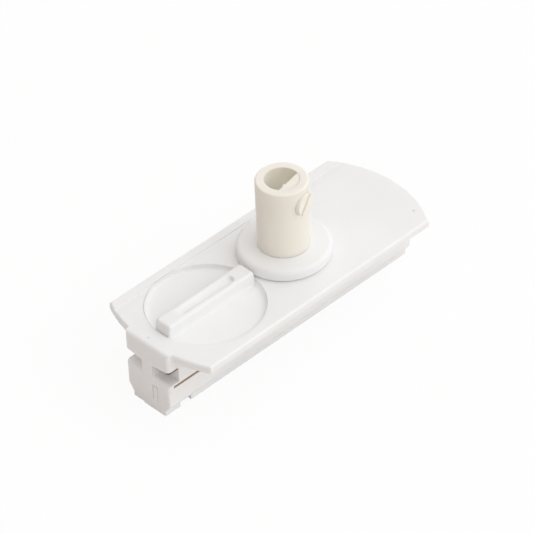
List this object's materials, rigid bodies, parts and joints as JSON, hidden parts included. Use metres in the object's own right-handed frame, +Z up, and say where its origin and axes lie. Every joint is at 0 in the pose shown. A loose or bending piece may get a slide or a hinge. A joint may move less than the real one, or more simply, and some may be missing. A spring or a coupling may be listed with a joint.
{
  "type": "track light adapter",
  "caption": "White track adapter for a pendant: bowed cover plate, narrow track body, rotary lock knob with grip bar, and an ivory cord grip with a side clamp screw.",
  "frame": {"origin": "bottom centre of the object, on the foot that it stands on", "axes": "+X from the lock knob to the far end, +Y to the polarity strip's side, +Z up out of the cover plate"},
  "size_m": [0.0866, 0.0356, 0.0433],
  "materials": {
    "white_housing": "fine satin moulding",
    "white_inner": "satin moulding",
    "ivory_nylon": "satin nylon moulding",
    "copper": "stamped copper strip",
    "terminal_brass": "sawn and drilled",
    "steel": "zinc plated"
  },
  "bodies": {
    "housing": {"adapter_housing": "white_housing", "base_cover": "white_housing", "base_screws": "steel", "detent_spring": "steel", "live_strip": "copper", "neutral_strip": "copper", "earth_contact": "copper", "live_terminal": "terminal_brass", "neutral_terminal": "terminal_brass", "earth_terminal": "terminal_brass", "terminal_screws": "steel", "collar": "white_housing", "cord_grip": "ivory_nylon", "grip_nut": "white_inner"},
    "knob": {"lock_knob": "white_housing", "lock_rotor": "white_inner", "rotor_screw": "steel", "live_contact": "copper", "neutral_contact": "copper"},
    "clamp": {"cord_clamp": "ivory_nylon"},
    "screw": {"clamp_screw": "ivory_nylon"}
  },
  "joints": [
    {"name": "knob_turn", "type": "hinge", "parent": "housing", "child": "knob", "pos_m": [-0.0231, 0, 0.0201], "axis": [0, 0, 1], "range_deg": [0, 90]},
    {"name": "clamp_slide", "type": "slide", "parent": "housing", "child": "clamp", "axis": [-0.1822, 0.9833, 0], "range_m": [0, 0.0025]},
    {"name": "screw_turn", "type": "hinge", "parent": "clamp", "child": "screw", "pos_m": [0.00521, -0.00492, 0.0383], "axis": [-0.1822, 0.9833, 0], "range_deg": [0, 900]}
  ],
  "couplings": [
    {"joint": "screw_turn", "follows": "clamp_slide", "rad_per_m": 6283.2}
  ]
}
